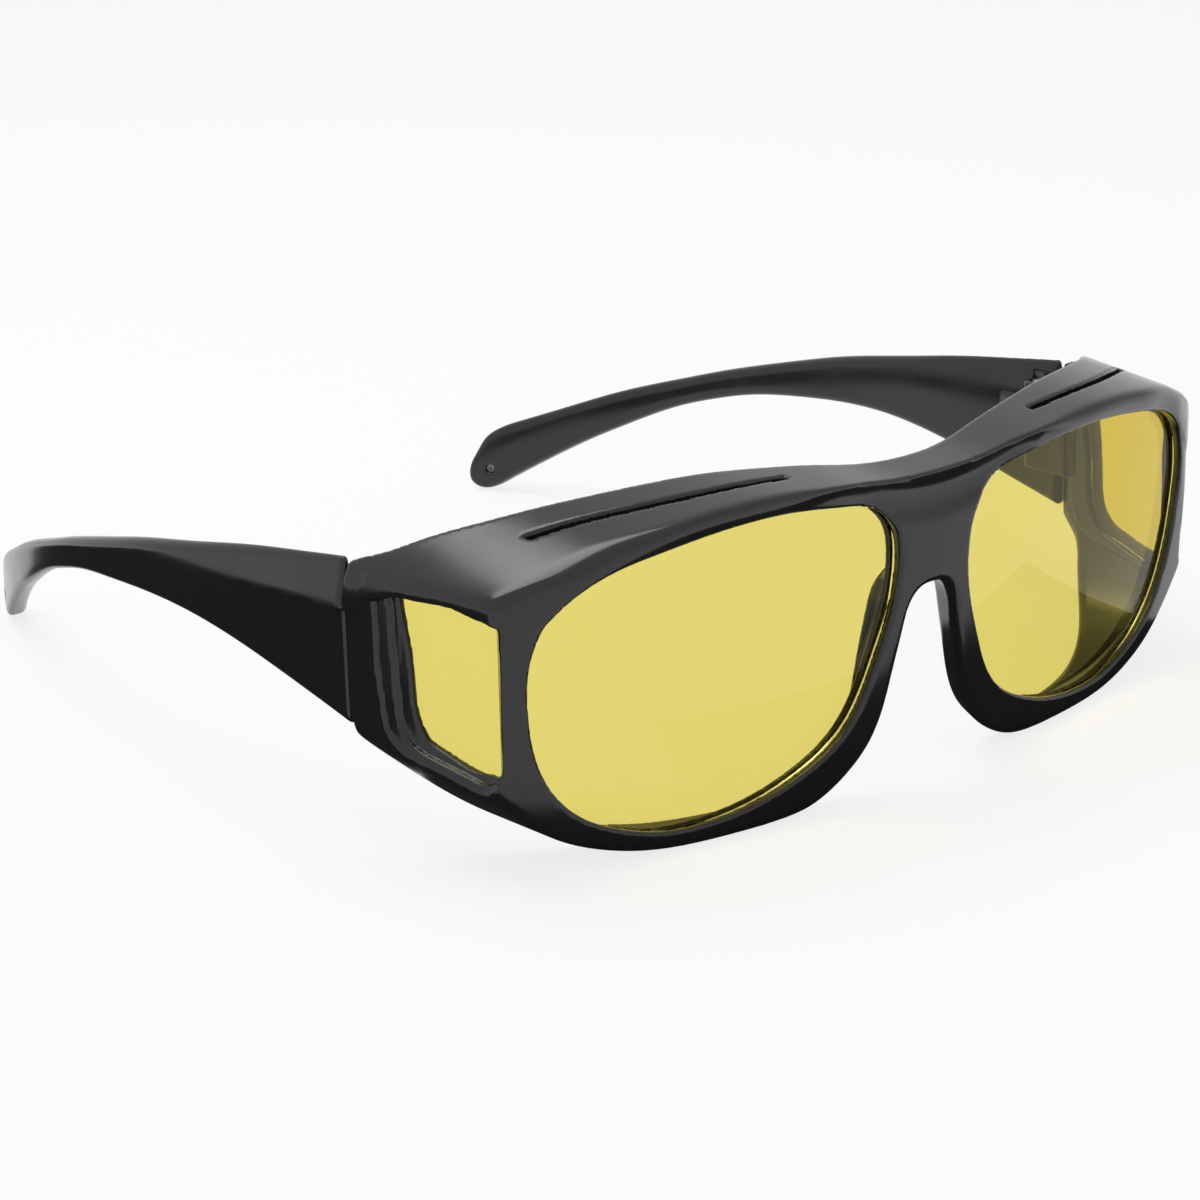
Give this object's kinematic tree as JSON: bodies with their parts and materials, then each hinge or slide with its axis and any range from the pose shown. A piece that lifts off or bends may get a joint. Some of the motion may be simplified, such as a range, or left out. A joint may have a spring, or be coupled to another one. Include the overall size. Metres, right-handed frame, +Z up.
{
  "type": "fitover sunglasses",
  "caption": "Wrap-around fitover sunglasses: tinted front lenses and side windows in a one-piece front moulding, with temples that fold on screw hinges.",
  "frame": {"origin": "on the ground below the middle of the open glasses", "axes": "+Z up, the lenses face -Y and the temples run to +Y, the wearer's left is +X"},
  "size_m": [0.15, 0.1661, 0.0515],
  "materials": {
    "moulded_plastic": "glossy injection-moulded black",
    "tinted_lens": "clear yellow-tinted polycarbonate",
    "screw_steel": "plain steel"
  },
  "bodies": {
    "root": {"front_frame": "moulded_plastic", "right_front_lens": "tinted_lens", "left_front_lens": "tinted_lens", "right_side_lens": "tinted_lens", "left_side_lens": "tinted_lens", "right_hinge_screw": "screw_steel", "left_hinge_screw": "screw_steel"},
    "right_temple": {"right_temple": "moulded_plastic"},
    "left_temple": {"left_temple": "moulded_plastic"}
  },
  "joints": [
    {"name": "right_temple_fold", "type": "hinge", "parent": "root", "child": "right_temple", "pos_m": [-0.07, -0.038, 0.0315], "axis": [0, 0, -1], "range_deg": [0, 90]},
    {"name": "left_temple_fold", "type": "hinge", "parent": "root", "child": "left_temple", "pos_m": [0.07, -0.038, 0.0315], "axis": [0, 0, 1], "range_deg": [0, 82]}
  ]
}
